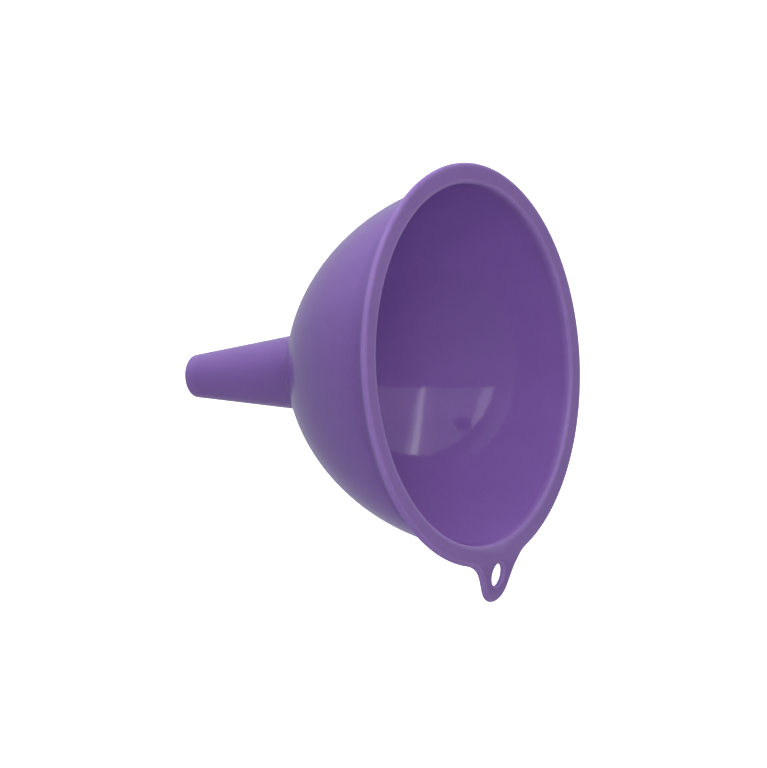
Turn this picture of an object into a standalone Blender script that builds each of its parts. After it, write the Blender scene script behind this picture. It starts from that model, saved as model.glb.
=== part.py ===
"""Kitchen and canning funnel, injection moulded as one piece of polypropylene.

A flat rim runs round the mouth of a deep bowl, the bowl closes to a cone, the cone runs
into a tapered spout, and a tab with a round hole stands out of the rim for hanging.

Frame: +Z is the funnel's own axis and points out of the mouth, and +X runs out through
the tab. The origin is on the axis where the bowl meets the spout, which is where the
neck of a bottle stops the bowl. Everything is in metres.
"""

import math

import bmesh
import bpy
from mathutils import Matrix, Vector

# Mouth and rim: the rim's width is measured from the mouth to the outer edge
MOUTH_RADIUS = 0.0538
RIM_WIDTH = 0.0062
RIM_THICKNESS = 0.0019
EDGE_ROUND = 0.0009
LIP_ROUND = 0.0010

# Underside of the rim: a narrow flat strip, then a hollow sweep that runs down into the bowl
UNDER_RIM_FLAT = 0.0007
UNDER_RIM_SWEEP = 0.0070

# Bowl: its side leaves the rim nearly upright, curves in, and ends as a cone
WALL = 0.0015
BOWL_DEPTH = 0.0617
BOWL_DRAFT = math.radians(6.1)
CONE_HALF_ANGLE = math.radians(53.0)

# Spout, outside radii
SPOUT_LENGTH = 0.0419
SPOUT_ROOT_RADIUS = 0.0119
SPOUT_TIP_RADIUS = 0.0067
ROOT_FILLET = 0.0014
TIP_ROUND = 0.0005

# Hanging tab: its end is an arc, its sides flare out and sweep into the rim
TAB_REACH = 0.0116
TAB_END_RADIUS = 0.0073
TAB_FLARE = math.radians(28.5)
TAB_SWEEP_RADIUS = 0.0125
TAB_DROOP = math.radians(14.3)
TAB_BEND_LENGTH = 0.0030
HOLE_RADIUS = 0.0033
HOLE_TO_TAB_END = 0.0082

# How finely the curves are divided
BOWL_STEPS = 7
FILLET_STEPS = 4
EDGE_STEPS = 2
RIM_WIDTH_STEPS = 4
UNDER_RIM_STEPS = 5
TAB_END_STEPS = 6
TAB_SWEEP_STEPS = 6
RIM_STEPS_PER_QUARTER = 14
HOLE_SIDES = 32

# Heights and radii that follow from the sizes above
RIM_RADIUS = MOUTH_RADIUS + RIM_WIDTH
MOUTH_HEIGHT = BOWL_DEPTH
RIM_UNDERSIDE_HEIGHT = MOUTH_HEIGHT - RIM_THICKNESS
BOWL_OUTSIDE_RADIUS = MOUTH_RADIUS + WALL
SPOUT_DRAFT = math.atan2(SPOUT_ROOT_RADIUS - SPOUT_TIP_RADIUS, SPOUT_LENGTH)
TAB_END_CENTRE = RIM_RADIUS + TAB_REACH - TAB_END_RADIUS
HOLE_CENTRE = RIM_RADIUS + TAB_REACH - HOLE_TO_TAB_END


def clear_scene():
    """Remove whatever the scene holds."""
    for old in list(bpy.data.objects):
        bpy.data.objects.remove(old, do_unlink=True)


def steps(start, end, count):
    """Count + 1 evenly spaced numbers from start to end."""
    return [start + (end - start) * i / count for i in range(count + 1)]


def bowl_arc():
    """Radius and centre of the arc that the bowl's outside follows.

    The arc starts at the mouth with the draft angle and ends where it is tangent to the
    cone, whose line runs on to the spout's root.
    """
    tangent = math.tan(CONE_HALF_ANGLE)
    run = math.sin(CONE_HALF_ANGLE) - math.sin(BOWL_DRAFT)
    closing = math.cos(BOWL_DRAFT) - math.cos(CONE_HALF_ANGLE)
    narrowing = BOWL_OUTSIDE_RADIUS - SPOUT_ROOT_RADIUS
    arc_radius = (BOWL_DEPTH * tangent - narrowing) / (tangent * run - closing)
    centre_radius = BOWL_OUTSIDE_RADIUS - arc_radius * math.cos(BOWL_DRAFT)
    centre_height = MOUTH_HEIGHT + arc_radius * math.sin(BOWL_DRAFT)
    return arc_radius, centre_radius, centre_height


def bowl_curve(inset, top_height):
    """Profile of the bowl from top_height down to the end of its arc."""
    arc_radius, centre_radius, centre_height = bowl_arc()
    radius = arc_radius - inset
    top_angle = math.asin((centre_height - top_height) / radius)
    return [
        (centre_radius + radius * math.cos(angle), centre_height - radius * math.sin(angle))
        for angle in steps(top_angle, CONE_HALF_ANGLE, BOWL_STEPS)
    ]


def under_rim_curve():
    """Profile of the sweep under the rim, from its flat strip down to the bowl's side.

    The height where it reaches the side depends on the side's radius there, so the two
    are worked out in turn until they settle.
    """
    start_radius = RIM_RADIUS - EDGE_ROUND - UNDER_RIM_FLAT
    end_height = RIM_UNDERSIDE_HEIGHT
    for _ in range(4):
        end_radius = bowl_curve(0.0, end_height)[0][0]
        turn = math.acos(1.0 - (start_radius - end_radius) / UNDER_RIM_SWEEP)
        end_height = RIM_UNDERSIDE_HEIGHT - UNDER_RIM_SWEEP * math.sin(turn)
    centre_radius = end_radius + UNDER_RIM_SWEEP
    return [
        (
            centre_radius + UNDER_RIM_SWEEP * math.cos(angle),
            end_height + UNDER_RIM_SWEEP * math.sin(angle),
        )
        for angle in steps(math.pi - turn, math.pi, UNDER_RIM_STEPS)
    ]


def root_curve(inset):
    """Profile of the fillet between the cone and the spout, from top to bottom."""
    middle = (CONE_HALF_ANGLE + SPOUT_DRAFT) / 2.0
    half_turn = (CONE_HALF_ANGLE - SPOUT_DRAFT) / 2.0
    to_centre = ROOT_FILLET / math.cos(half_turn)
    centre_radius = SPOUT_ROOT_RADIUS + to_centre * math.cos(middle)
    centre_height = -to_centre * math.sin(middle)
    radius = ROOT_FILLET + inset
    return [
        (centre_radius - radius * math.cos(angle), centre_height + radius * math.sin(angle))
        for angle in steps(CONE_HALF_ANGLE, SPOUT_DRAFT, FILLET_STEPS)
    ]


def spout_end():
    """Profile of the spout's end, from its rounded outer edge to the bore."""
    centre_radius = SPOUT_TIP_RADIUS - TIP_ROUND
    centre_height = -SPOUT_LENGTH + TIP_ROUND
    outer_edge = [
        (centre_radius + TIP_ROUND * math.cos(angle), centre_height - TIP_ROUND * math.sin(angle))
        for angle in steps(0.0, math.pi / 2.0, EDGE_STEPS)
    ]
    bore_radius = SPOUT_TIP_RADIUS - WALL / math.cos(SPOUT_DRAFT)
    return outer_edge + [(bore_radius, -SPOUT_LENGTH)]


def turned_profile():
    """Profile of everything below the rim: down the outside, then up the inside."""
    under_rim = under_rim_curve()
    bowl = bowl_curve(0.0, under_rim[-1][1])[1:]
    outside = under_rim + bowl + root_curve(0.0) + spout_end()
    inside = bowl_curve(WALL, MOUTH_HEIGHT - LIP_ROUND) + root_curve(WALL)
    return outside + inside[::-1]


def mouth_lip():
    """Profile of the rounded edge inside the mouth, from the wall up to the rim's face."""
    centre_height = MOUTH_HEIGHT - LIP_ROUND
    wall_radius = bowl_curve(WALL, centre_height)[0][0]
    return [
        (
            wall_radius + LIP_ROUND * (1.0 - math.cos(angle)),
            centre_height + LIP_ROUND * math.sin(angle),
        )
        for angle in steps(0.0, math.pi / 2.0, EDGE_STEPS)[1:]
    ]


def tab_half_outline(inset):
    """Outline of the rim and tab on the +Y side, from the tab's end round to -X.

    With an inset the whole outline lies that far inside the edge.
    """
    rim_radius = RIM_RADIUS - inset
    end_radius = TAB_END_RADIUS - inset
    sweep_radius = TAB_SWEEP_RADIUS + inset
    side_normal = Vector((math.sin(TAB_FLARE), math.cos(TAB_FLARE)))
    side_direction = Vector((math.cos(TAB_FLARE), -math.sin(TAB_FLARE)))
    across = TAB_END_CENTRE * side_normal.x + end_radius + sweep_radius
    along = math.sqrt((rim_radius + sweep_radius) ** 2 - across**2)
    sweep_centre = side_normal * across + side_direction * along
    touch_angle = math.atan2(sweep_centre.y, sweep_centre.x)

    tab_end = [
        Vector((TAB_END_CENTRE + end_radius * math.cos(a), end_radius * math.sin(a)))
        for a in steps(0.0, math.pi / 2.0 - TAB_FLARE, TAB_END_STEPS)
    ]
    first = -math.pi / 2.0 - TAB_FLARE
    last = touch_angle - math.pi
    sweep = [
        sweep_centre + sweep_radius * Vector((math.cos(a), math.sin(a)))
        for a in steps(first, last, TAB_SWEEP_STEPS)
    ]
    front = steps(touch_angle, math.pi / 2.0, RIM_STEPS_PER_QUARTER)
    back = steps(math.pi / 2.0, math.pi, RIM_STEPS_PER_QUARTER)
    rim = [rim_radius * Vector((math.cos(a), math.sin(a))) for a in front[1:] + back[1:]]
    return tab_end + sweep + rim


def outline(inset):
    """Closed outline of the rim and tab, the -Y side mirrored from the +Y side."""
    half = tab_half_outline(inset)
    mirrored = [Vector((point.x, -point.y)) for point in half[-2:0:-1]]
    return half + mirrored


def droop(x):
    """How far the tab has dropped at x: nothing over the rim, a short bend, then straight."""
    past = x - RIM_RADIUS
    half_bend = TAB_BEND_LENGTH / 2.0
    if past <= -half_bend:
        return 0.0
    if past < half_bend:
        return math.tan(TAB_DROOP) * (past + half_bend) ** 2 / (2.0 * TAB_BEND_LENGTH)
    return math.tan(TAB_DROOP) * past


def turned_ring(radius, height, directions):
    """One ring of the turned body, with a point in each direction."""
    return [Vector((radius * d.x, radius * d.y, height)) for d in directions]


def rim_ring(inset, height):
    """One ring that follows the outline of the rim and the drooping tab."""
    return [Vector((p.x, p.y, height - droop(p.x))) for p in outline(inset)]


def between(first, last, height, count):
    """Rings across the rim between two others, following the tab's droop."""
    rings = []
    for share in steps(0.0, 1.0, count)[1:-1]:
        ring = [a.lerp(b, share) for a, b in zip(first, last)]
        rings.append([Vector((p.x, p.y, height - droop(p.x))) for p in ring])
    return rings


def rim_edge():
    """Rings round the outer edge, from the rim's face to its underside."""
    quarter = steps(0.0, math.pi / 2.0, EDGE_STEPS)
    upper = [
        rim_ring(EDGE_ROUND * (1.0 - math.sin(a)), MOUTH_HEIGHT - EDGE_ROUND * (1.0 - math.cos(a)))
        for a in quarter
    ]
    lower = [
        rim_ring(
            EDGE_ROUND * (1.0 - math.cos(a)),
            RIM_UNDERSIDE_HEIGHT + EDGE_ROUND * (1.0 - math.sin(a)),
        )
        for a in quarter
    ]
    return upper + lower


def funnel_rings():
    """Every ring of the moulding in order, from the lip round the section and back."""
    directions = [point.normalized() for point in outline(0.0)]
    lip = [turned_ring(radius, height, directions) for radius, height in mouth_lip()]
    edge = rim_edge()
    turned = [turned_ring(radius, height, directions) for radius, height in turned_profile()]
    face = between(lip[-1], edge[0], MOUTH_HEIGHT, RIM_WIDTH_STEPS)
    underside = between(edge[-1], turned[0], RIM_UNDERSIDE_HEIGHT, RIM_WIDTH_STEPS)
    return lip + face + edge + underside + turned


def mesh_from_rings(name, rings):
    """A closed mesh that joins each ring to the next and the last ring to the first."""
    shape = bmesh.new()
    rows = [[shape.verts.new(point) for point in ring] for ring in rings]
    count = len(rows[0])
    for upper, lower in zip(rows, rows[1:] + rows[:1]):
        for i in range(count):
            after = (i + 1) % count
            shape.faces.new((upper[i], lower[i], lower[after], upper[after]))
    bmesh.ops.recalc_face_normals(shape, faces=shape.faces)
    mesh = bpy.data.meshes.new(name)
    shape.to_mesh(mesh)
    shape.free()
    return mesh


def purple_plastic():
    """Coloured polypropylene with a soft gloss."""
    material = bpy.data.materials.new("purple_polypropylene")
    material.use_nodes = True
    shader = material.node_tree.nodes["Principled BSDF"]
    shader.inputs["Base Color"].default_value = (0.165, 0.098, 0.330, 1.0)
    shader.inputs["Roughness"].default_value = 0.32
    shader.inputs["Metallic"].default_value = 0.0
    return material


def hole_cutter():
    """Round cutter that passes square through the drooping tab."""
    shape = bmesh.new()
    bmesh.ops.create_cone(
        shape,
        cap_ends=True,
        segments=HOLE_SIDES,
        radius1=HOLE_RADIUS,
        radius2=HOLE_RADIUS,
        depth=RIM_THICKNESS * 4.0,
    )
    mesh = bpy.data.meshes.new("tab_hole_cutter")
    shape.to_mesh(mesh)
    shape.free()
    cutter = bpy.data.objects.new("tab_hole_cutter", mesh)
    bpy.context.scene.collection.objects.link(cutter)
    middle_height = MOUTH_HEIGHT - RIM_THICKNESS / 2.0 - droop(HOLE_CENTRE)
    place = Matrix.Translation((HOLE_CENTRE, 0.0, middle_height))
    cutter.matrix_world = place @ Matrix.Rotation(TAB_DROOP, 4, "Y")
    cutter.hide_render = True
    cutter.display_type = "WIRE"
    return cutter


def make_funnel():
    """The whole moulding, with the hole cut through its tab."""
    mesh = mesh_from_rings("funnel", funnel_rings())
    mesh.shade_smooth()
    mesh.set_sharp_from_angle(angle=math.radians(35.0))
    mesh.materials.append(purple_plastic())
    funnel = bpy.data.objects.new("funnel", mesh)
    bpy.context.scene.collection.objects.link(funnel)
    cut = funnel.modifiers.new("tab_hole", "BOOLEAN")
    cut.operation = "DIFFERENCE"
    cut.solver = "EXACT"
    cut.object = hole_cutter()
    return funnel


clear_scene()
make_funnel()
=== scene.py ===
"""Finish of the purple kitchen and canning funnel.

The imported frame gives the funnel's places and overall sizes. This script turns the
moulding again at a fine pitch with every edge rounded, gives it the finish of coloured
polypropylene, and sets up a plain pale studio round it.
"""

import math

import bmesh
import bpy
from mathutils import Matrix, Vector


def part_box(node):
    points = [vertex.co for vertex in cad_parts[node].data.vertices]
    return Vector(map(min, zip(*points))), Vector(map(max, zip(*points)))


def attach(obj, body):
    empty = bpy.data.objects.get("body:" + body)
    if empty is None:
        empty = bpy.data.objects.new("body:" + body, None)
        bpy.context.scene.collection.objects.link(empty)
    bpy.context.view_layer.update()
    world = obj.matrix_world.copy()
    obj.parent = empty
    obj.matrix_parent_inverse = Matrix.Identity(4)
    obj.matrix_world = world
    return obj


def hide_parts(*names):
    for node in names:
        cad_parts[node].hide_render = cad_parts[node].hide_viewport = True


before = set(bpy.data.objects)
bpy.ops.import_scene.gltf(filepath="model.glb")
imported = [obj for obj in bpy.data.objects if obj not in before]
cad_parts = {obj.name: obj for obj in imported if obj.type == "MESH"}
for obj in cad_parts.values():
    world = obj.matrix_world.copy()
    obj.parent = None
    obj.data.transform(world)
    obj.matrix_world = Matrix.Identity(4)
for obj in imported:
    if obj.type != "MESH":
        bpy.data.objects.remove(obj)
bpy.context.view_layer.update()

# ---------------------------------------------------------------------------
# Sizes, in metres. The overall ones are read from the frame.
# ---------------------------------------------------------------------------

LOW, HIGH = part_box("funnel")

# Mouth and rim
MOUTH_HEIGHT = HIGH.z
RIM_RADIUS = HIGH.y
RIM_WIDTH = 0.0062
MOUTH_RADIUS = RIM_RADIUS - RIM_WIDTH
RIM_THICKNESS = 0.0019
EDGE_ROUND = 0.0009
LIP_ROUND = 0.0010
UNDER_RIM_FLAT = 0.0007
UNDER_RIM_SWEEP = 0.0070

# Bowl
WALL = 0.0015
BOWL_DEPTH = MOUTH_HEIGHT
BOWL_DRAFT = math.radians(6.1)
CONE_HALF_ANGLE = math.radians(53.0)
BOWL_OUTSIDE_RADIUS = MOUTH_RADIUS + WALL

# Spout
SPOUT_LENGTH = -LOW.z
SPOUT_ROOT_RADIUS = 0.0119
SPOUT_TIP_RADIUS = 0.0067
ROOT_FILLET = 0.0014
TIP_ROUND = 0.0005
BORE_ROUND = 0.00025
SPOUT_DRAFT = math.atan2(SPOUT_ROOT_RADIUS - SPOUT_TIP_RADIUS, SPOUT_LENGTH)

# Hanging tab
TAB_END_RADIUS = 0.0073
TAB_END_CENTRE = HIGH.x - TAB_END_RADIUS
TAB_FLARE = math.radians(28.5)
TAB_SWEEP_RADIUS = 0.0125
TAB_DROOP = math.radians(14.3)
TAB_BEND_LENGTH = 0.0030
HOLE_RADIUS = 0.0033
HOLE_TO_TAB_END = 0.0082
HOLE_CENTRE = HIGH.x - HOLE_TO_TAB_END

# Fineness: how many steps each stretch of the section and outline has
LIP_STEPS = 10
FACE_STEPS = 12
EDGE_STEPS = 18
UNDER_RIM_STEPS = 20
BOWL_STEPS = 36
CONE_STEPS = 4
ROOT_STEPS = 10
SPOUT_STEPS = 10
TIP_STEPS = 6
BORE_STEPS = 4
TAB_STEPS = 28
TAB_SIDE_RIM_STEPS = 37
FAR_SIDE_RIM_STEPS = 45
HOLE_EDGE_STEPS = 10
HOLE_SIDES = 96
SETTLING_ROUNDS = 4
WELD_DISTANCE = 1e-6
SHARP_ANGLE = math.radians(35.0)

# Wear and painted edge highlight, from 0 for untouched to 1 for a knocked edge that is also painted
# paler as a highlight
FACE_WEAR_AND_HIGHLIGHT = 0.1
WEAR_AND_HIGHLIGHT_FADE_RATE = 7.0
SPOUT_END_WEAR_AND_HIGHLIGHT = 0.8


def steps(start, end, count):
    """Count + 1 evenly spaced numbers from start to end."""
    return [start + (end - start) * i / count for i in range(count + 1)]


# ---------------------------------------------------------------------------
# Node graphs
# ---------------------------------------------------------------------------


class Value:
    """A number's socket, which Python's operators work on by adding Math nodes."""

    def __init__(self, graph, socket):
        self.graph = graph
        self.socket = socket

    def math(self, operation, *others):
        """This value and the others through one Math node."""
        inputs = dict(enumerate((self, *others)))
        return self.graph.add("ShaderNodeMath", {"operation": operation}, inputs)

    def __add__(self, other):
        return self.math("ADD", other)

    __radd__ = __add__

    def __sub__(self, other):
        return self.math("SUBTRACT", other)

    def __rsub__(self, other):
        return (self * -1.0) + other

    def __mul__(self, other):
        return self.math("MULTIPLY", other)

    __rmul__ = __mul__

    def __mod__(self, other):
        return self.math("FLOORED_MODULO", other)

    def at_least(self, other):
        return self.math("MAXIMUM", other)

    def at_most(self, other):
        return self.math("MINIMUM", other)

    def channel(self, index):
        """One part of a vector or colour."""
        return self.graph.add("ShaderNodeSeparateXYZ", {}, {0: self}, index)


class Graph:
    """A node tree that is built by calls, for a material or for Geometry Nodes."""

    def __init__(self, tree):
        self.tree = tree

    def add(self, kind, settings=None, inputs=None, output=0):
        """Add one node, set it up, feed its sockets, and return one output as a Value."""
        node = self.tree.nodes.new(kind)
        for name, setting in (settings or {}).items():
            setattr(node, name, setting)
        for name, value in (inputs or {}).items():
            socket = node.inputs[name]
            if isinstance(value, Value):
                self.tree.links.new(value.socket, socket)
            else:
                socket.default_value = value
        return Value(self, node.outputs[output])

    def feed(self, node, name, value):
        """Link a value to a socket of a node that is already there."""
        self.tree.links.new(value.socket, node.inputs[name])

    def more(self, value, output):
        """Another output of the node that a value comes from."""
        return Value(self, value.socket.node.outputs[output])


def geometry_graph(name, sizes):
    """A Geometry Nodes tree with a mesh in and out and one named input for each size."""
    tree = bpy.data.node_groups.new(name, "GeometryNodeTree")
    tree.interface.new_socket("Mesh", in_out="INPUT", socket_type="NodeSocketGeometry")
    for size, kind in sizes.items():
        tree.interface.new_socket(size, in_out="INPUT", socket_type=kind)
    tree.interface.new_socket("Mesh", in_out="OUTPUT", socket_type="NodeSocketGeometry")
    graph = Graph(tree)
    entry = tree.nodes.new("NodeGroupInput")
    sockets = {socket.name: Value(graph, socket) for socket in entry.outputs if socket.name}
    return graph, sockets


def finish_geometry(graph, mesh):
    """Lead the finished mesh to the tree's output."""
    out = graph.tree.nodes.new("NodeGroupOutput")
    graph.tree.links.new(mesh.socket, out.inputs[0])


def grown(obj, tree, settings):
    """The plain mesh that a Geometry Nodes tree makes of an object, whose modifier then goes."""
    modifier = obj.modifiers.new(tree.name, "NODES")
    modifier.node_group = tree
    for item in tree.interface.items_tree:
        if item.in_out == "INPUT" and item.name in settings:
            modifier[item.identifier] = settings[item.name]
    evaluated = obj.evaluated_get(bpy.context.evaluated_depsgraph_get())
    mesh = bpy.data.meshes.new_from_object(evaluated)
    obj.modifiers.remove(modifier)
    return mesh


# ---------------------------------------------------------------------------
# Section and outline of the moulding
# ---------------------------------------------------------------------------


def bowl_arc():
    """Radius and centre of the arc that the bowl's outside follows."""
    tangent = math.tan(CONE_HALF_ANGLE)
    run = math.sin(CONE_HALF_ANGLE) - math.sin(BOWL_DRAFT)
    closing = math.cos(BOWL_DRAFT) - math.cos(CONE_HALF_ANGLE)
    narrowing = BOWL_OUTSIDE_RADIUS - SPOUT_ROOT_RADIUS
    arc_radius = (BOWL_DEPTH * tangent - narrowing) / (tangent * run - closing)
    centre_radius = BOWL_OUTSIDE_RADIUS - arc_radius * math.cos(BOWL_DRAFT)
    centre_height = MOUTH_HEIGHT + arc_radius * math.sin(BOWL_DRAFT)
    return arc_radius, centre_radius, centre_height


def bowl_curve(inset, top_height, count):
    """Points of the bowl's arc from top_height down to where its cone begins."""
    arc_radius, centre_radius, centre_height = bowl_arc()
    radius = arc_radius - inset
    top_angle = math.asin((centre_height - top_height) / radius)
    return [
        (centre_radius + radius * math.cos(a), centre_height - radius * math.sin(a))
        for a in steps(top_angle, CONE_HALF_ANGLE, count)
    ]


def root_curve(inset, count):
    """Points of the fillet between the cone and the spout, from top to bottom."""
    middle = (CONE_HALF_ANGLE + SPOUT_DRAFT) / 2.0
    half_turn = (CONE_HALF_ANGLE - SPOUT_DRAFT) / 2.0
    to_centre = ROOT_FILLET / math.cos(half_turn)
    centre_radius = SPOUT_ROOT_RADIUS + to_centre * math.cos(middle)
    centre_height = -to_centre * math.sin(middle)
    radius = ROOT_FILLET + inset
    return [
        (centre_radius - radius * math.cos(a), centre_height + radius * math.sin(a))
        for a in steps(CONE_HALF_ANGLE, SPOUT_DRAFT, count)
    ]


def under_rim_curve(outer_radius, underside, count):
    """Points of the sweep under the rim, from the rim's edge in and down to the wall.

    The height where it reaches the wall depends on the wall's radius there, so the two are
    worked out in turn until they settle.
    """
    height = underside
    for _ in range(SETTLING_ROUNDS):
        wall_radius = bowl_curve(0.0, height, 1)[0][0]
        turn = math.acos(1.0 - (outer_radius - wall_radius) / UNDER_RIM_SWEEP)
        height = underside - UNDER_RIM_SWEEP * math.sin(turn)
    centre = (wall_radius + UNDER_RIM_SWEEP, height)
    return corner(centre, UNDER_RIM_SWEEP, math.pi - turn, math.pi, count)


def corner(centre, radius, start, end, count):
    """Points of a rounded corner in the section, its angles measured up from +X."""
    return [
        (centre[0] + radius * math.cos(a), centre[1] + radius * math.sin(a))
        for a in steps(start, end, count)
    ]


def between(start, end, count):
    """The points that cut the straight line from start to end into count equal steps."""
    (r0, z0), (r1, z1) = start, end
    return [(r0 + (r1 - r0) * s, z0 + (z1 - z0) * s) for s in steps(0.0, 1.0, count)[1:-1]]


def spout_end():
    """Points round the spout's end, from its rounded outside to its bore."""
    bottom = -SPOUT_LENGTH
    bore = SPOUT_TIP_RADIUS - WALL / math.cos(SPOUT_DRAFT)
    down = -math.pi / 2.0
    tip_centre = (SPOUT_TIP_RADIUS - TIP_ROUND, bottom + TIP_ROUND)
    bore_centre = (bore + BORE_ROUND, bottom + BORE_ROUND)
    outer = corner(tip_centre, TIP_ROUND, 0.0, down, TIP_STEPS)
    inner = corner(bore_centre, BORE_ROUND, down, -math.pi, BORE_STEPS)
    return outer + inner


def section():
    """The wall's section as one closed loop of points, each with its values.

    A point is (radius, height, values). Its share is 0 where it turns about the axis and 1
    where it follows the outline of the rim and tab, its inset is how far inside that outline
    it lies, its wear is how much it gets rubbed and how much painted edge
    highlight it gets, and outside is 1 on the cavity's side.
    """
    half_pi = math.pi / 2.0
    underside = MOUTH_HEIGHT - RIM_THICKNESS
    points = []

    def lay(places, share=0.0, inset=0.0, wear=0.0, outside=0.0):
        for radius, height in places:
            values = {"share": share, "inset": inset, "wear": wear, "outside": outside}
            points.append((radius, height, values))

    lip_height = MOUTH_HEIGHT - LIP_ROUND
    lip_radius = bowl_curve(WALL, lip_height, 1)[0][0]
    lip = corner((lip_radius + LIP_ROUND, lip_height), LIP_ROUND, math.pi, half_pi, LIP_STEPS)
    face_radius = lip[-1][0]
    sweep_start = RIM_RADIUS - EDGE_ROUND - UNDER_RIM_FLAT
    under_rim = under_rim_curve(sweep_start, underside, UNDER_RIM_STEPS)

    # The lip and the rim's edges get full wear and the full painted highlight
    lay(lip, wear=1.0)
    for share in steps(0.0, 1.0, FACE_STEPS)[1:-1]:
        from_edge = min(share, 1.0 - share)
        wear = max(1.0 - from_edge * WEAR_AND_HIGHLIGHT_FADE_RATE, FACE_WEAR_AND_HIGHLIGHT)
        lay([(face_radius, MOUTH_HEIGHT)], share, EDGE_ROUND, wear)
    for a in steps(0.0, math.pi, EDGE_STEPS):
        drop = EDGE_ROUND if a <= half_pi else RIM_THICKNESS - EDGE_ROUND
        height = MOUTH_HEIGHT - drop + EDGE_ROUND * math.cos(a)
        lay([(face_radius, height)], 1.0, EDGE_ROUND * (1.0 - math.sin(a)), wear=1.0)
    for share in steps(1.0, 0.0, FACE_STEPS)[1:-1]:
        lay([under_rim[0]], share, EDGE_ROUND, outside=1.0)
    lay(under_rim, outside=1.0)

    outer = bowl_curve(0.0, under_rim[-1][1], BOWL_STEPS)[1:]
    root = root_curve(0.0, ROOT_STEPS)
    end = spout_end()
    inner_root = root_curve(WALL, ROOT_STEPS)[::-1]
    inner = bowl_curve(WALL, lip_height, BOWL_STEPS)[::-1]
    lay([*outer, *between(outer[-1], root[0], CONE_STEPS), *root], outside=1.0)
    lay(between(root[-1], end[0], SPOUT_STEPS), outside=1.0)
    lay(end, wear=SPOUT_END_WEAR_AND_HIGHLIGHT, outside=1.0)
    lay([*between(end[-1], inner_root[0], SPOUT_STEPS), *inner_root])
    lay([*between(inner_root[-1], inner[0], CONE_STEPS), *inner[:-1]])
    return points


def half_outline():
    """Outline of the rim and tab on the +Y side as (point, outward normal) pairs."""
    side_normal = Vector((math.sin(TAB_FLARE), math.cos(TAB_FLARE)))
    side_direction = Vector((math.cos(TAB_FLARE), -math.sin(TAB_FLARE)))
    across = TAB_END_CENTRE * side_normal.x + TAB_END_RADIUS + TAB_SWEEP_RADIUS
    along = math.sqrt((RIM_RADIUS + TAB_SWEEP_RADIUS) ** 2 - across**2)
    sweep_centre = side_normal * across + side_direction * along
    touch = math.atan2(sweep_centre.y, sweep_centre.x)

    end_centre = Vector((TAB_END_CENTRE, 0.0))
    side = math.pi / 2.0
    end_angles = steps(0.0, side - TAB_FLARE, TAB_STEPS)
    sweep_angles = steps(-side - TAB_FLARE, touch - math.pi, TAB_STEPS)
    rim_angles = steps(touch, side, TAB_SIDE_RIM_STEPS)[1:]
    rim_angles += steps(side, math.pi, FAR_SIDE_RIM_STEPS)[1:]
    found = []
    for centre, radius, facing, angles in (
        (end_centre, TAB_END_RADIUS, 1.0, end_angles),
        (sweep_centre, TAB_SWEEP_RADIUS, -1.0, sweep_angles),
        (Vector((0.0, 0.0)), RIM_RADIUS, 1.0, rim_angles),
    ):
        for angle in angles:
            direction = Vector((math.cos(angle), math.sin(angle)))
            found.append((centre + radius * direction, facing * direction))
    return found


def outline():
    """Closed outline of the rim and tab as (point, outward normal) pairs."""
    half = half_outline()
    flip = Vector((1.0, -1.0))
    return half + [(point * flip, normal * flip) for point, normal in half[-2:0:-1]]


def droop(x):
    """How far the tab has dropped at x: a short bend at the rim's edge, then straight."""
    half_bend = TAB_BEND_LENGTH / 2.0
    past = x - RIM_RADIUS
    bent = min(max(past + half_bend, 0.0), TAB_BEND_LENGTH)
    straight = max(past - half_bend, 0.0)
    return math.tan(TAB_DROOP) * (bent**2 / (2.0 * TAB_BEND_LENGTH) + straight)


# ---------------------------------------------------------------------------
# The moulding
# ---------------------------------------------------------------------------


def points_object(name, points, attributes):
    """A mesh of loose points that carries values on each of them."""
    mesh = bpy.data.meshes.new(name)
    mesh.from_pydata(points, [], [])
    for label, (kind, values) in attributes.items():
        layer = mesh.attributes.new(label, kind, "POINT")
        field = "vector" if kind == "FLOAT_VECTOR" else "value"
        for item, value in zip(layer.data, values):
            setattr(item, field, value)
    obj = bpy.data.objects.new(name, mesh)
    bpy.context.scene.collection.objects.link(obj)
    return obj


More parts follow.
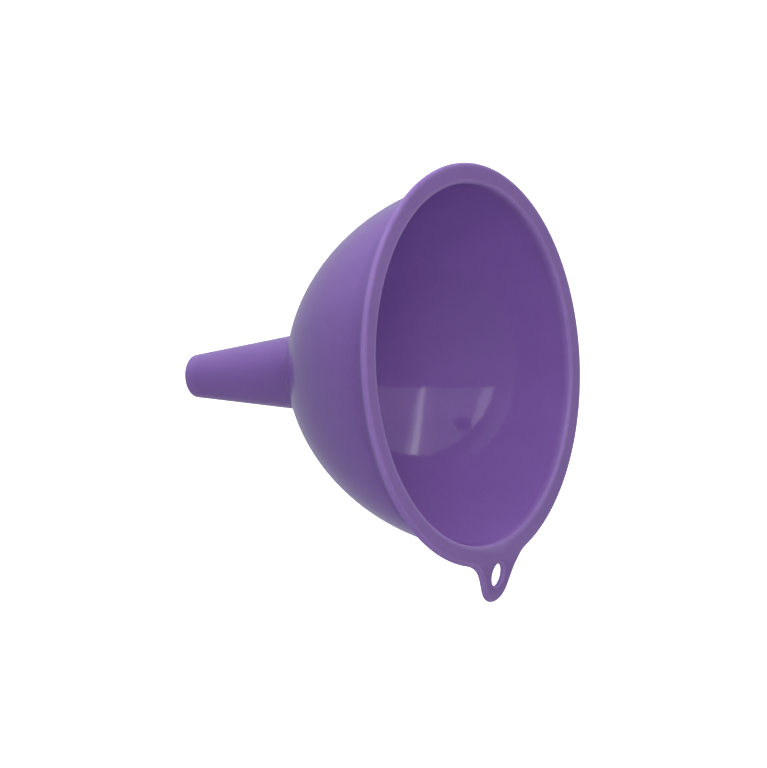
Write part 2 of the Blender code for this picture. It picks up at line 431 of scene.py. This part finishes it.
def turning_tree():
    """Geometry Nodes that carry the wall's section round the outline of the rim and tab."""
    graph, given = geometry_graph(
        "turn_moulding",
        {
            "Outline": "NodeSocketObject",
            "Section Points": "NodeSocketInt",
            "Outline Points": "NodeSocketInt",
            "Weld Distance": "NodeSocketFloat",
            "Finish": "NodeSocketMaterial",
        },
    )
    around = graph.add("GeometryNodeObjectInfo", {}, {"Object": given["Outline"]}, "Geometry")
    across_count = given["Section Points"]
    around_count = given["Outline Points"]
    grid = graph.add(
        "GeometryNodeMeshGrid",
        {},
        {
            "Size X": 1.0,
            "Size Y": 1.0,
            "Vertices X": across_count + 1.0,
            "Vertices Y": around_count + 1.0,
        },
    )
    place = graph.add("GeometryNodeInputPosition")
    split = graph.add("ShaderNodeSeparateXYZ", {}, {0: place})
    across = ((split + 0.5) * across_count).math("ROUND") % across_count
    along = ((graph.more(split, 1) + 0.5) * around_count).math("ROUND") % around_count

    def read(source, kind, field, index):
        sampled = {"Geometry": source, "Value": field, "Index": index}
        return graph.add("GeometryNodeSampleIndex", {"data_type": kind}, sampled)

    def named(label, kind):
        return graph.add("GeometryNodeInputNamedAttribute", {"data_type": kind}, {"Name": label})

    wall = read(given["Mesh"], "FLOAT_VECTOR", graph.add("GeometryNodeInputPosition"), across)
    share = read(given["Mesh"], "FLOAT", named("share", "FLOAT"), across)
    inset = read(given["Mesh"], "FLOAT", named("inset", "FLOAT"), across)
    edge = read(around, "FLOAT_VECTOR", graph.add("GeometryNodeInputPosition"), along)
    normal = read(around, "FLOAT_VECTOR", named("outward", "FLOAT_VECTOR"), along)

    section_parts = graph.add("ShaderNodeSeparateXYZ", {}, {0: wall})
    direction = graph.add("ShaderNodeVectorMath", {"operation": "NORMALIZE"}, {0: edge})
    turned = graph.add(
        "ShaderNodeVectorMath", {"operation": "SCALE"}, {0: direction, "Scale": section_parts}
    )
    step_in = graph.add(
        "ShaderNodeVectorMath", {"operation": "SCALE"}, {0: normal, "Scale": inset * -1.0}
    )
    followed = graph.add("ShaderNodeVectorMath", {"operation": "ADD"}, {0: edge, 1: step_in})
    # A Mix node takes vectors in its sockets 4 and 5 and gives one in its output 1.
    flat = graph.add("ShaderNodeMix", {"data_type": "VECTOR"}, {0: share, 4: turned, 5: followed}, 1)
    lift = graph.add("ShaderNodeCombineXYZ", {}, {2: graph.more(section_parts, 2)})
    position = graph.add("ShaderNodeVectorMath", {"operation": "ADD"}, {0: flat, 1: lift})

    mesh = grid
    for label in ("wear", "outside"):
        value = read(given["Mesh"], "FLOAT", named(label, "FLOAT"), across)
        settings = {"data_type": "FLOAT", "domain": "POINT"}
        stored = {"Geometry": mesh, "Name": label, "Value": value}
        mesh = graph.add("GeometryNodeStoreNamedAttribute", settings, stored)
    moved = graph.add("GeometryNodeSetPosition", {}, {"Geometry": mesh, "Position": position})
    welded = graph.add(
        "GeometryNodeMergeByDistance", {}, {"Geometry": moved, "Distance": given["Weld Distance"]}
    )
    real = graph.add("GeometryNodeRealizeInstances", {}, {"Geometry": welded})
    done = graph.add(
        "GeometryNodeSetMaterial", {}, {"Geometry": real, "Material": given["Finish"]}
    )
    finish_geometry(graph, done)
    return graph.tree


def turned_moulding(finish):
    """The whole moulding as a plain mesh, its tab still level and without its hole."""
    wall = section()
    rim = outline()
    section_object = points_object(
        "wall_section",
        [(radius, 0.0, height) for radius, height, values in wall],
        {
            label: ("FLOAT", [values[label] for radius, height, values in wall])
            for label in ("share", "inset", "wear", "outside")
        },
    )
    outline_object = points_object(
        "rim_outline",
        [(point.x, point.y, 0.0) for point, normal in rim],
        {"outward": ("FLOAT_VECTOR", [(normal.x, normal.y, 0.0) for point, normal in rim])},
    )
    mesh = grown(
        section_object,
        turning_tree(),
        {
            "Outline": outline_object,
            "Section Points": len(wall),
            "Outline Points": len(rim),
            "Weld Distance": WELD_DISTANCE,
            "Finish": finish,
        },
    )
    for helper in (section_object, outline_object):
        bpy.data.objects.remove(helper, do_unlink=True)
    shape = bmesh.new()
    shape.from_mesh(mesh)
    bmesh.ops.recalc_face_normals(shape, faces=shape.faces)
    shape.to_mesh(mesh)
    shape.free()
    return mesh


def hole_cutter():
    """Turned cutter whose ends flare out, so that it leaves the hole's edges rounded."""
    flare_end = math.radians(80.0)
    overshoot = 0.0012
    half_thickness = RIM_THICKNESS / 2.0
    middle = MOUTH_HEIGHT - half_thickness
    upper = []
    for a in steps(0.0, flare_end, HOLE_EDGE_STEPS):
        radius = HOLE_RADIUS + EDGE_ROUND * (1.0 - math.cos(a))
        upper.append((radius, half_thickness - EDGE_ROUND + EDGE_ROUND * math.sin(a)))
    last_radius, last_height = upper[-1]
    end_radius = last_radius + overshoot * math.sin(flare_end)
    end_height = last_height + overshoot * math.cos(flare_end)
    upper.append((end_radius, end_height))
    profile = [(radius, -height) for radius, height in upper[::-1]] + upper
    angles = [2.0 * math.pi * i / HOLE_SIDES for i in range(HOLE_SIDES)]
    shape = bmesh.new()
    rings = []
    for radius, height in profile:
        rings.append([
            shape.verts.new(
                (HOLE_CENTRE + radius * math.cos(a), radius * math.sin(a), middle + height)
            )
            for a in angles
        ])
    for lower, higher in zip(rings, rings[1:]):
        for i in range(HOLE_SIDES):
            j = (i + 1) % HOLE_SIDES
            shape.faces.new((lower[i], lower[j], higher[j], higher[i]))
    shape.faces.new(rings[0][::-1])
    shape.faces.new(rings[-1])
    mesh = bpy.data.meshes.new("tab_hole_cutter")
    shape.to_mesh(mesh)
    shape.free()
    cutter = bpy.data.objects.new("tab_hole_cutter", mesh)
    bpy.context.scene.collection.objects.link(cutter)
    return cutter


def make_funnel(finish):
    """The finished moulding: turned, its hole cut, and its tab bent down."""
    funnel = bpy.data.objects.new("funnel_moulding", turned_moulding(finish))
    bpy.context.scene.collection.objects.link(funnel)
    cutter = hole_cutter()
    cut = funnel.modifiers.new("tab_hole", "BOOLEAN")
    cut.operation = "DIFFERENCE"
    cut.solver = "EXACT"
    cut.object = cutter
    evaluated = funnel.evaluated_get(bpy.context.evaluated_depsgraph_get())
    mesh = bpy.data.meshes.new_from_object(evaluated)
    funnel.modifiers.clear()
    funnel.data = mesh
    bpy.data.objects.remove(cutter, do_unlink=True)
    for vertex in mesh.vertices:
        vertex.co.z -= droop(vertex.co.x)
    mesh.shade_smooth()
    mesh.set_sharp_from_angle(angle=SHARP_ANGLE)
    mesh.materials.clear()
    mesh.materials.append(finish)
    return funnel


# ---------------------------------------------------------------------------
# Finishes
# ---------------------------------------------------------------------------

# Colours of the polypropylene
DEEP_PURPLE = (0.209, 0.106, 0.364, 1.0)
LIGHT_PURPLE = (0.229, 0.120, 0.394, 1.0)
GRAIN_PURPLE = (0.26, 0.15, 0.44, 1.0)
SPECK_PURPLE = (0.09, 0.05, 0.15, 1.0)
# Paler purple for the rubbed patches and for the painted highlight along the edges
RUBBED_AND_HIGHLIGHT_PURPLE = (0.40, 0.30, 0.58, 1.0)
GRAIN_STRENGTH = 0.16
SPECK_STRENGTH = 0.35
# Painted highlight: how much paler the lip, the rim's edges and the spout's end are painted all
# along
PAINTED_EDGE_HIGHLIGHT = 0.22
RUBBED_PALENESS = 0.16

# Patterns, in waves to the metre
FLOW_SCALE = 34.0
HAZE_SCALE = 55.0
RUBBING_SCALE = 90.0
SPECK_SCALE = 150.0
PEEL_SCALE = 330.0
SCRATCH_SCALE = 700.0
GRAIN_SCALE = 1400.0
SATIN_SCALE = 2600.0
FLOW_STRETCH = (1.0, 1.0, 0.35)
SCRATCH_STRETCH = (1.0, 1.0, 6.0)

# Roughness of the polished inside, and what is added to it
INSIDE_ROUGHNESS = 0.055
OUTSIDE_ROUGHNESS = 0.105
HAZE_ROUGHNESS = 0.030
RUBBED_ROUGHNESS = 0.22

# Relief, in metres
PEEL_HEIGHT = 0.0000035
SATIN_HEIGHT = 0.0000008
SCRATCH_DEPTH = 0.000002


def principled(name):
    """A new material's graph and its Principled shader."""
    material = bpy.data.materials.new(name)
    material.use_nodes = True
    graph = Graph(material.node_tree)
    return material, graph, material.node_tree.nodes["Principled BSDF"]


def noise(graph, place, scale, detail=2.0):
    """Smooth noise from about 0 to 1, its scale in waves to the metre."""
    inputs = {"Vector": place, "Scale": scale, "Detail": detail, "Roughness": 0.5}
    return graph.add("ShaderNodeTexNoise", {}, inputs)


def ramp(graph, value, low, high):
    """0 below low and 1 above high, with an even rise between."""
    inputs = {"Value": value, "From Min": low, "From Max": high}
    return graph.add("ShaderNodeMapRange", {"clamp": True}, inputs)


def stretched(graph, place, factors):
    """A place with each axis scaled by its own factor, to draw a pattern out."""
    return graph.add("ShaderNodeVectorMath", {"operation": "MULTIPLY"}, {0: place, 1: factors})


def colour_mix(graph, factor, first, second):
    """One colour blended into another by a factor."""
    inputs = {0: factor, 6: first, 7: second}
    return graph.add("ShaderNodeMix", {"data_type": "RGBA"}, inputs, 2)


def purple_polypropylene():
    """Semi-gloss purple polypropylene: a polished inside and a satin outside.

    The colour drifts a little with the flow of the melt, has a fine grain and a few specks
    of pigment, and the edges that get knocked are rubbed paler and duller in patches. The lip,
    the rim's edges and the spout's end are also painted paler all along as a painted highlight.
    """
    material, graph, shader = principled("purple_polypropylene")
    place = graph.more(graph.add("ShaderNodeTexCoord"), "Object")
    wear = graph.add("ShaderNodeAttribute", {"attribute_name": "wear"}, {}, "Fac")
    outside = graph.add("ShaderNodeAttribute", {"attribute_name": "outside"}, {}, "Fac")

    flow = noise(graph, stretched(graph, place, FLOW_STRETCH), FLOW_SCALE, detail=3.0)
    grain = noise(graph, place, GRAIN_SCALE, detail=1.0)
    specks = graph.add("ShaderNodeTexVoronoi", {}, {"Vector": place, "Scale": SPECK_SCALE})
    chosen = ramp(graph, graph.more(specks, "Color").channel(0), low=0.90, high=0.91)
    speck = chosen * (1.0 - ramp(graph, specks, low=0.02, high=0.05))
    scratch_place = stretched(graph, place, SCRATCH_STRETCH)
    scratch_noise = noise(graph, scratch_place, SCRATCH_SCALE, detail=4.0)
    scratches = ramp(graph, scratch_noise, low=0.54, high=0.68)
    patches = ramp(graph, noise(graph, place, RUBBING_SCALE), low=0.36, high=0.62)
    rubbed = wear * (0.35 + scratches * 0.65) * patches

    body = colour_mix(graph, ramp(graph, flow, low=0.32, high=0.68), DEEP_PURPLE, LIGHT_PURPLE)
    graininess = ramp(graph, grain, low=0.35, high=0.65) * GRAIN_STRENGTH
    grained = colour_mix(graph, graininess, body, GRAIN_PURPLE)
    specked = colour_mix(graph, speck * SPECK_STRENGTH, grained, SPECK_PURPLE)
    # Painted highlight along the lip and edges, plus real rubbing in patches, both towards the paler
    # purple
    paled_by_rubbing_and_highlight = wear * PAINTED_EDGE_HIGHLIGHT + rubbed * RUBBED_PALENESS
    colour = colour_mix(graph, paled_by_rubbing_and_highlight, specked, RUBBED_AND_HIGHLIGHT_PURPLE)
    graph.feed(shader, "Base Color", colour)

    haze = ramp(graph, noise(graph, place, HAZE_SCALE, detail=4.0), low=0.30, high=0.70)
    dulled = haze * HAZE_ROUGHNESS
    satin_side = outside * OUTSIDE_ROUGHNESS
    roughness = INSIDE_ROUGHNESS + satin_side + dulled + rubbed * RUBBED_ROUGHNESS
    graph.feed(shader, "Roughness", roughness)

    peel = noise(graph, place, PEEL_SCALE, detail=1.0) * PEEL_HEIGHT
    satin = noise(graph, place, SATIN_SCALE, detail=2.0) * outside * SATIN_HEIGHT
    scored = scratches * wear * -SCRATCH_DEPTH
    bump = graph.add(
        "ShaderNodeBump", {}, {"Strength": 1.0, "Distance": 1.0, "Height": peel + satin + scored}
    )
    graph.feed(shader, "Normal", bump)

    shader.inputs["IOR"].default_value = 1.49
    shader.inputs["Subsurface Weight"].default_value = 0.35
    shader.inputs["Subsurface Radius"].default_value = (1.0, 0.7, 1.2)
    shader.inputs["Subsurface Scale"].default_value = 0.0035
    return material


def pale_floor():
    """Plain white studio floor, lit from within like a light table."""
    material, _, shader = principled("pale_floor")
    shader.inputs["Base Color"].default_value = (0.9, 0.9, 0.9, 1.0)
    shader.inputs["Roughness"].default_value = 0.9
    shader.inputs["Emission Color"].default_value = (1.0, 1.0, 1.0, 1.0)
    shader.inputs["Emission Strength"].default_value = FLOOR_GLOW
    return material


# ---------------------------------------------------------------------------
# Studio
# ---------------------------------------------------------------------------

# Camera
CAMERA_AIM = Vector((0.0025, -0.0162, 0.0383))
CAMERA_DISTANCE = 1.0665
CAMERA_AZIMUTH = math.radians(-7.76)
CAMERA_ELEVATION = math.radians(33.68)
CAMERA_ROLL = math.radians(87.85)
CAMERA_LENS = 168.75
CAMERA_SENSOR = 36.0

# Floor
FLOOR_HEIGHT = LOW.z - 0.20
FLOOR_HALF_SIDE = 6.0
FLOOR_GLOW = 1.0

# Surround: how much it glows on each side, and how high its glow beside the funnel reaches
LEFT_GLOW = 0.85
RIGHT_GLOW = 0.12
BEHIND_GLOW = 0.50
FRONT_GLOW = 0.24
BELOW_GLOW = 0.47
HORIZON_TOP = 0.35
HORIZON_FADE_RATE = 6.7
SHEEN_GLOW = 0.50
SHEEN_TIGHTNESS = 4.0
COOL_LIGHT = (0.96, 0.98, 1.14, 1.0)
WHITE = (1.0, 1.0, 1.0, 1.0)

# Soft lights: name, place, length of a side and brightness
LIGHT_AIM = (0.0, 0.0, 0.0)
SOFT_LIGHTS = (
    ("key_light", (-0.9, -0.5, 0.7), 0.8, 1.6),
    ("high_light", (-0.1, -0.95, 0.9), 0.8, 3.1),
    ("top_light", (0.0, 0.0, 1.3), 1.0, 0.6),
    ("side_light", (-1.25, 0.0, 0.15), 1.0, 2.9),
    ("fill_light", (1.1, -0.4, 0.22), 1.0, 1.7),
)

# Window: its place, the gap between its cards, and how bright each of them is
WINDOW_PLACE = Vector((-0.72, -0.52, 0.80))
WINDOW_AIM = Vector((0.02, 0.033, 0.027))
CARD_GAP = 0.01
PANE_GLOW = 0.66
HAZE_GLOW = 0.92
FLANK_GLOW = 1.6
UPRIGHT_GLOW = 3.6
CORNER_GLOW = 1.8
SPOT_GLOW = 0.0
BAND_START_WIDTH = 0.35


def make_camera():
    """Camera that looks down into the mouth, turned so that the spout points left."""
    level = math.cos(CAMERA_ELEVATION)
    across = math.sin(CAMERA_AZIMUTH) * level
    along = -math.cos(CAMERA_AZIMUTH) * level
    back = Vector((across, along, math.sin(CAMERA_ELEVATION)))
    data = bpy.data.cameras.new("studio_camera")
    data.lens = CAMERA_LENS
    data.sensor_width = CAMERA_SENSOR
    data.clip_start = 0.01
    data.clip_end = 20.0
    camera = bpy.data.objects.new("studio_camera", data)
    bpy.context.scene.collection.objects.link(camera)
    turn = (-back).to_track_quat("-Z", "Y").to_matrix().to_4x4()
    place = Matrix.Translation(CAMERA_AIM + back * CAMERA_DISTANCE)
    camera.matrix_world = place @ turn @ Matrix.Rotation(CAMERA_ROLL, 4, "Z")
    bpy.context.scene.camera = camera


def make_floor(finish):
    """Wide plain floor below the spout."""
    shape = bmesh.new()
    bmesh.ops.create_grid(shape, x_segments=1, y_segments=1, size=FLOOR_HALF_SIDE)
    bmesh.ops.translate(shape, verts=shape.verts, vec=(0.0, 0.0, FLOOR_HEIGHT))
    mesh = bpy.data.meshes.new("studio_floor")
    shape.to_mesh(mesh)
    shape.free()
    mesh.materials.append(finish)
    floor = bpy.data.objects.new("studio_floor", mesh)
    bpy.context.scene.collection.objects.link(floor)
    floor.visible_diffuse = False
    floor.visible_glossy = False
    floor.visible_shadow = False


def soft_light(name, place, side, brightness):
    """A square soft light of a given brightness, facing the funnel, which isn't mirrored."""
    data = bpy.data.lights.new(name, "AREA")
    data.shape = "SQUARE"
    data.size = side
    data.energy = math.pi * side * side * brightness
    light = bpy.data.objects.new(name, data)
    bpy.context.scene.collection.objects.link(light)
    facing = (Vector(LIGHT_AIM) - Vector(place)).to_track_quat("-Z", "Y").to_matrix().to_4x4()
    light.matrix_world = Matrix.Translation(place) @ facing
    light.visible_camera = False
    light.visible_glossy = False


def glow_card(name, outline_points, brightness, layer):
    """A flat glowing card, a few layers in front of the window, which the bowl mirrors."""
    material, _, shader = principled(name)
    shader.inputs["Base Color"].default_value = (0.0, 0.0, 0.0, 1.0)
    shader.inputs["Emission Color"].default_value = (1.0, 1.0, 1.0, 1.0)
    shader.inputs["Emission Strength"].default_value = brightness
    shader.inputs["Specular IOR Level"].default_value = 0.0
    facing = (WINDOW_AIM - WINDOW_PLACE).to_track_quat("-Z", "Y").to_matrix().to_4x4()
    placed = Matrix.Translation(WINDOW_PLACE) @ facing
    shape = bmesh.new()
    forward = layer * CARD_GAP
    corners = [shape.verts.new(placed @ Vector((x, y, -forward))) for x, y in outline_points]
    shape.faces.new(corners)
    mesh = bpy.data.meshes.new(name)
    shape.to_mesh(mesh)
    shape.free()
    mesh.materials.append(material)
    card = bpy.data.objects.new(name, mesh)
    bpy.context.scene.collection.objects.link(card)
    card.visible_camera = False
    card.visible_shadow = False


def ring_points(centre, long_radius, short_radius, turn, count):
    """Points of an ellipse, its long axis turned by an angle."""
    found = []
    for a in steps(0.0, 2.0 * math.pi, count)[:-1]:
        x, y = long_radius * math.cos(a), short_radius * math.sin(a)
        found.append((
            centre[0] + x * math.cos(turn) - y * math.sin(turn),
            centre[1] + x * math.sin(turn) + y * math.cos(turn),
        ))
    return found


def band(line, low, high):
    """Outline of a strip along a line, between two distances off to its upper left.

    The strip starts at a part of that width and widens to all of it at the line's end.
    """
    shares = steps(BAND_START_WIDTH, 1.0, len(line) - 1)
    widths = [math.sqrt(0.5) * share for share in shares]
    sides = [
        [(x - width * off, y + width * off) for (x, y), width in zip(line, widths)]
        for off in (low, high)
    ]
    return sides[0] + sides[1][::-1]


def make_window():
    """A window up on the left: a dim pane, a bright upright, a bright corner, a dark spot."""
    sill = [(0.65, -0.37), (0.34, -0.39), (0.15, -0.38), (-0.10, -0.33), (-0.31, -0.28)]
    sill += [(-0.52, -0.21), (-0.76, -0.12), (-0.99, 0.0), (-1.15, 0.15), (-1.35, 0.35)]
    far_side = [(-0.62, 0.62), (0.0, 0.65), (0.19, 0.43), (0.27, 0.30)]
    upright = [(0.27, 0.30), (0.08, 0.23), (-0.22, 0.13), (-0.59, 0.055), (-0.95, 0.02)]
    corner_inside = [(-0.03, -0.31), (0.21, -0.29), (0.33, -0.26), (0.59, -0.26)]
    glow_card("window_pane", sill + far_side, PANE_GLOW, layer=0)
    glow_card("window_haze", band(upright, low=-0.22, high=0.14), HAZE_GLOW, layer=1)
    glow_card("window_flank", band(upright, low=-0.08, high=0.13), FLANK_GLOW, layer=2)
    glow_card("window_upright", band(upright, low=-0.04, high=0.05), UPRIGHT_GLOW, layer=3)
    glow_card("window_corner", sill[:4] + corner_inside, CORNER_GLOW, layer=1)
    spot_centre = (-0.042, -0.238)
    spot = ring_points(
        spot_centre, long_radius=0.112, short_radius=0.085, turn=math.radians(14.0), count=24
    )
    glow_card("window_spot", spot, SPOT_GLOW, layer=2)


def make_surround():
    """Plain white surround, whose cool light comes from the left, the front and below.

    The hidden sides get a little of it. A patch high up behind is seen only in reflections
    and gives the flat rim its sheen.
    """
    world = bpy.data.worlds.new("studio_surround")
    world.use_nodes = True
    graph = Graph(world.node_tree)
    background = world.node_tree.nodes["Background"]
    direction = graph.add("ShaderNodeTexCoord")
    across, along, up = (direction.channel(axis) for axis in range(3))
    left = (across * -1.0).at_least(0.0)
    right = across.at_least(0.0)
    front = (along * -1.0).at_least(0.0)
    behind = along.at_least(0.0)
    below = (up * -1.0).at_least(0.0)
    near_horizon = ((HORIZON_TOP - up) * HORIZON_FADE_RATE).at_least(0.0).at_most(1.0)
    sides = left * left * LEFT_GLOW + right * right * RIGHT_GLOW
    beside = sides + behind * behind * BEHIND_GLOW
    glow = beside * near_horizon + front * front * FRONT_GLOW + below * below * BELOW_GLOW
    high_behind = (along * 0.8 + up * 0.6).at_least(0.0).math("POWER", SHEEN_TIGHTNESS)
    camera_ray = graph.add("ShaderNodeLightPath")
    glossy_ray = graph.more(camera_ray, "Is Glossy Ray")
    glow = glow + high_behind * glossy_ray * SHEEN_GLOW
    graph.feed(background, "Color", colour_mix(graph, camera_ray, COOL_LIGHT, WHITE))
    graph.feed(background, "Strength", glow + camera_ray * (1.0 - glow))
    bpy.context.scene.world = world


def make_studio():
    """White surround, floor, soft lights, window and camera."""
    make_surround()
    make_floor(pale_floor())
    for name, place, side, brightness in SOFT_LIGHTS:
        soft_light(name, place, side, brightness)
    make_window()
    make_camera()
    bpy.context.scene.view_settings.view_transform = "Standard"


# ---------------------------------------------------------------------------
# The scene
# ---------------------------------------------------------------------------

funnel = make_funnel(purple_polypropylene())
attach(funnel, "root")
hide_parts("funnel")
make_studio()
